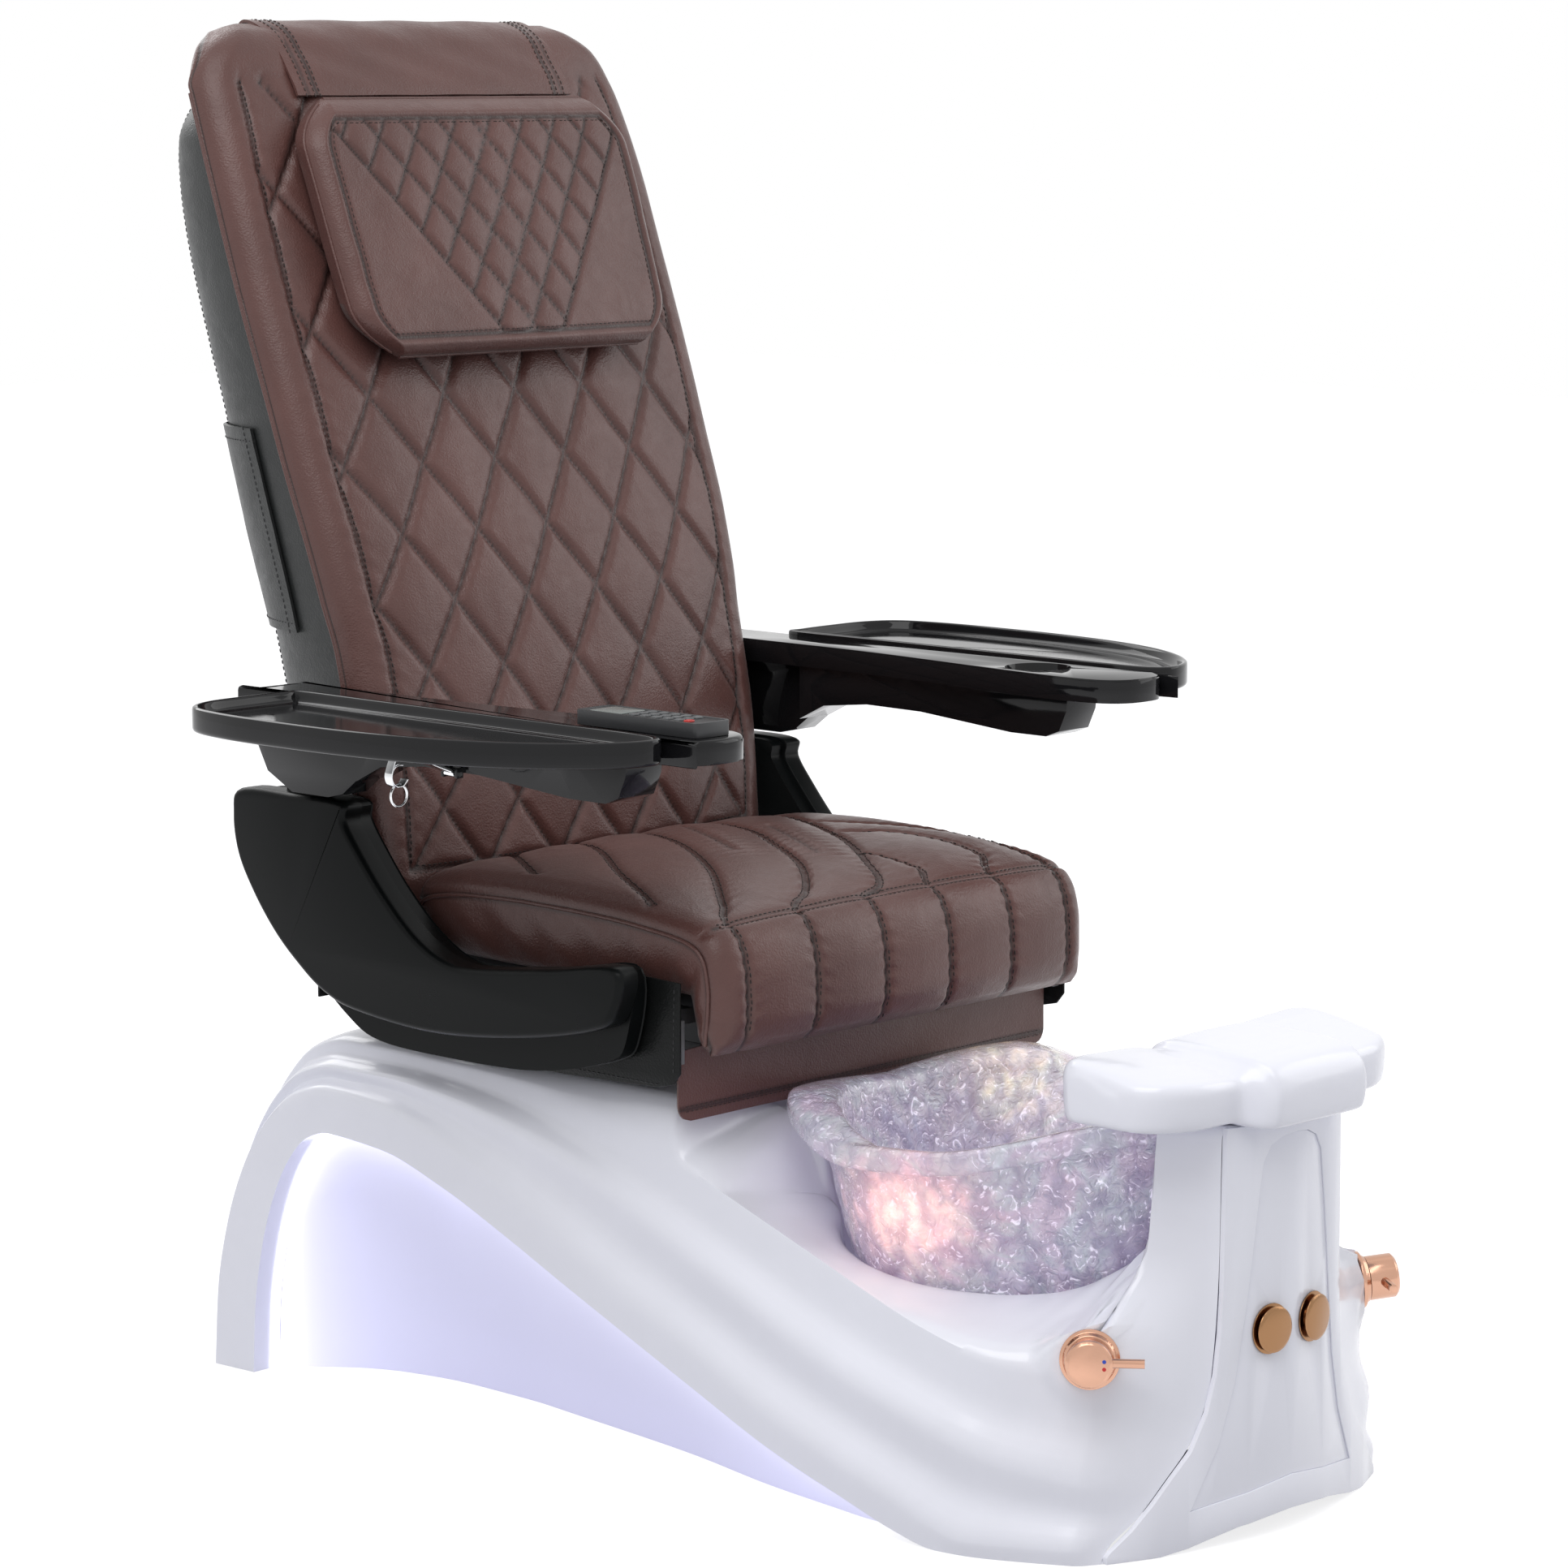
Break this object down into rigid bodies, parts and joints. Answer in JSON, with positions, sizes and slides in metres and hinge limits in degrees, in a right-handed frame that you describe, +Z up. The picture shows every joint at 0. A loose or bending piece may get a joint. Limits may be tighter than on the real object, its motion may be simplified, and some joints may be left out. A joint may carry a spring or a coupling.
{
  "type": "pedicure spa chair",
  "caption": "Pedicure spa chair: moulded base with a glass foot bowl, taps and footrest, under a sliding, reclining massage seat with flip-up arms and fold-down trays",
  "frame": {"origin": "middle of the whole chair's outline on the floor, z = 0 at the floor", "axes": "+Z up; the sitter faces -Y, towards the bowl and footrest; +X is the sitter's left"},
  "size_m": [1.1202, 1.4407, 1.463],
  "materials": {
    "white_gelcoat": "glossy white moulded shell",
    "lit_panel": "satin white panel",
    "led_diffuser": "milky strip",
    "glass": "hammered clear glass",
    "brown_leather": "soft brown leather with stitching",
    "black_leather": "smooth black leather",
    "soot_plastic": "satin dark shell",
    "gloss_black": "piano black",
    "rose_gold": "polished rose gold",
    "brass": "machined",
    "plated_steel": "zinc plated",
    "painted_steel": "powder coat",
    "chrome": "polished",
    "dark_plastic": "moulded",
    "rubber": "matte"
  },
  "bodies": {
    "base": {"base_shell": "white_gelcoat", "front_fascia": "white_gelcoat", "access_panel": "white_gelcoat", "side_panel_left": "lit_panel", "side_panel_right": "lit_panel", "led_strip_left": "led_diffuser", "led_strip_right": "led_diffuser", "base_frame": "painted_steel", "levelling_feet": "rubber", "glass_bowl": "glass", "drain_fitting": "chrome", "jet_housing": "dark_plastic", "jet_cover": "chrome", "footrest_pad": "white_gelcoat", "footrest_post": "painted_steel", "tap_flange_left": "rose_gold", "tap_flange_right": "rose_gold", "tap_valve_left": "brass", "tap_valve_right": "brass", "button_bezels": "rose_gold", "control_box": "dark_plastic", "slide_rails": "plated_steel", "slide_motor": "dark_plastic"},
    "seat": {"seat_carriage": "painted_steel", "seat_pan": "painted_steel", "seat_cushion": "brown_leather", "front_flap": "brown_leather", "side_skirt_left": "black_leather", "side_skirt_right": "black_leather", "rear_skirt": "black_leather", "side_shell_left": "soot_plastic", "side_shell_right": "soot_plastic", "arm_pins": "plated_steel"},
    "back": {"back_frame": "painted_steel", "back_cushion": "brown_leather", "back_cover": "black_leather", "back_pocket": "black_leather", "head_pillow": "brown_leather", "pillow_flap": "brown_leather"},
    "massage": {"massage_carriage": "dark_plastic"},
    "recline_motor": {"recline_actuator": "dark_plastic"},
    "recline_rod": {"actuator_rod": "plated_steel"},
    "arm_left": {"arm_body_left": "gloss_black", "arm_top_left": "gloss_black"},
    "arm_right": {"arm_body_right": "gloss_black", "arm_top_right": "gloss_black", "remote_control": "dark_plastic"},
    "tray_left": {"tray_left": "gloss_black"},
    "tray_right": {"tray_right": "gloss_black"},
    "strut_left": {"tray_strut_left": "chrome"},
    "strut_right": {"tray_strut_right": "chrome"},
    "tap_left": {"tap_handle_left": "rose_gold"},
    "tap_right": {"tap_handle_right": "rose_gold"},
    "button_left": {"air_button_left": "rose_gold"},
    "button_right": {"air_button_right": "rose_gold"},
    "stopper": {"drain_stopper": "chrome"}
  },
  "joints": [
    {"name": "seat_slide", "type": "slide", "parent": "base", "child": "seat", "axis": [0, 1, 0], "range_m": [0, 0.1], "deforming": ["front_flap"]},
    {"name": "back_recline", "type": "hinge", "parent": "seat", "child": "back", "pos_m": [0, 0.335, 0.5], "axis": [-1, 0, 0], "range_deg": [0, 25]},
    {"name": "massage_travel", "type": "slide", "parent": "back", "child": "massage", "axis": [0, 0.309, 0.9511], "range_m": [0, 0.45]},
    {"name": "motor_tilt", "type": "hinge", "parent": "seat", "child": "recline_motor", "pos_m": [0, -0.076, 0.466], "axis": [1, 0, 0], "range_deg": [0, 1]},
    {"name": "rod_slide", "type": "slide", "parent": "recline_motor", "child": "recline_rod", "axis": [0, 0.9977, -0.068], "range_m": [-0.028, 0]},
    {"name": "arm_flip_left", "type": "hinge", "parent": "seat", "child": "arm_left", "pos_m": [0.33, 0.375, 0.712], "axis": [-1, 0, 0], "range_deg": [0, 55]},
    {"name": "tray_fold_left", "type": "hinge", "parent": "arm_left", "child": "tray_left", "pos_m": [0.371, 0.1, 0.738], "axis": [0, 1, 0], "range_deg": [0, 85]},
    {"name": "strut_fold_left", "type": "hinge", "parent": "arm_left", "child": "strut_left", "pos_m": [0.3665, 0.105, 0.708], "axis": [0, 1, 0], "range_deg": [0, 106]},
    {"name": "arm_flip_right", "type": "hinge", "parent": "seat", "child": "arm_right", "pos_m": [-0.33, 0.375, 0.712], "axis": [-1, 0, 0], "range_deg": [0, 55]},
    {"name": "tray_fold_right", "type": "hinge", "parent": "arm_right", "child": "tray_right", "pos_m": [-0.371, 0.1, 0.738], "axis": [0, -1, 0], "range_deg": [0, 85]},
    {"name": "strut_fold_right", "type": "hinge", "parent": "arm_right", "child": "strut_right", "pos_m": [-0.3665, 0.105, 0.708], "axis": [0, -1, 0], "range_deg": [0, 106]},
    {"name": "tap_turn_left", "type": "hinge", "parent": "base", "child": "tap_left", "pos_m": [0.203, -0.6, 0.196], "axis": [0.7837, -0.6123, 0.1045], "range_deg": [-45, 45]},
    {"name": "tap_turn_right", "type": "hinge", "parent": "base", "child": "tap_right", "pos_m": [-0.203, -0.6, 0.196], "axis": [-0.7837, -0.6123, 0.1045], "range_deg": [-45, 45]},
    {"name": "button_press_left", "type": "slide", "parent": "base", "child": "button_left", "axis": [-0.1159, 0.9933, 0], "range_m": [0, 0.004], "stiffness_N_per_m": 600, "springref_m": -0.001},
    {"name": "button_press_right", "type": "slide", "parent": "base", "child": "button_right", "axis": [0.1159, 0.9933, 0], "range_m": [0, 0.004], "stiffness_N_per_m": 600, "springref_m": -0.001},
    {"name": "stopper_lift", "type": "slide", "parent": "base", "child": "stopper", "axis": [0, 0, 1], "range_m": [0, 0.01]}
  ],
  "couplings": [
    {"joint": "motor_tilt", "follows": "back_recline", "ratio": 0.02387},
    {"joint": "rod_slide", "follows": "back_recline", "m_per_rad": -0.06077},
    {"joint": "strut_fold_left", "follows": "tray_fold_left", "ratio": 1.238},
    {"joint": "strut_fold_right", "follows": "tray_fold_right", "ratio": 1.238}
  ]
}
